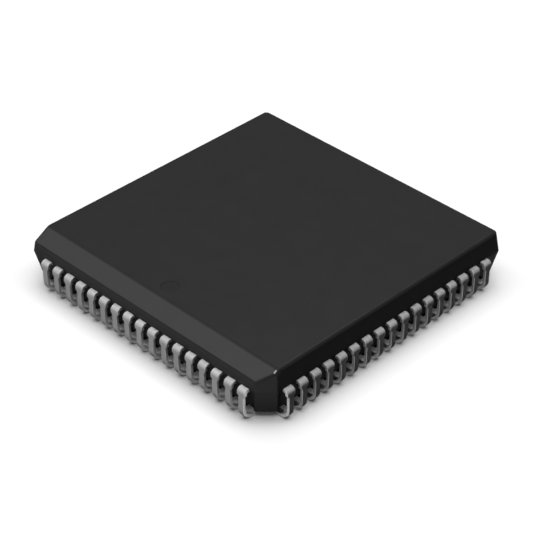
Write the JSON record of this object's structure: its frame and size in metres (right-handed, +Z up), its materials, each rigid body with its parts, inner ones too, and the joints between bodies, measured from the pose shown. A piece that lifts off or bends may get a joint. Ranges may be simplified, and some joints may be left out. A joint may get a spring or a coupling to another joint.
{
  "type": "plastic leaded chip carrier",
  "caption": "Square moulded chip package with a bevelled edge, a cut corner and J-shaped leads on all four sides that curl under the body, for a surface pad pattern or a carrier socket.",
  "frame": {"origin": "centre of the package on the seating plane, the plane of the hooks' lowest points", "axes": "+Z up out of the top face, +Y towards the first side, whose top edge is bevelled, -X towards the second side"},
  "size_m": [0.0252, 0.0252, 0.0043],
  "materials": {
    "moulding": "fine matt moulded epoxy, near black",
    "tin_plate": "satin tin plating on copper alloy",
    "copper": "bare copper alloy sheet",
    "silver_adhesive": "silver-filled adhesive",
    "silicon": "polished silicon",
    "gold_wire": "drawn gold wire"
  },
  "bodies": {
    "root": {"body": "moulding", "die_paddle": "copper", "die_attach": "silver_adhesive", "die": "silicon", "leads_first_side": "tin_plate", "leads_second_side": "tin_plate", "leads_third_side": "tin_plate", "leads_fourth_side": "tin_plate", "wires_first_side": "gold_wire", "wires_second_side": "gold_wire", "wires_third_side": "gold_wire", "wires_fourth_side": "gold_wire"}
  },
  "joints": []
}
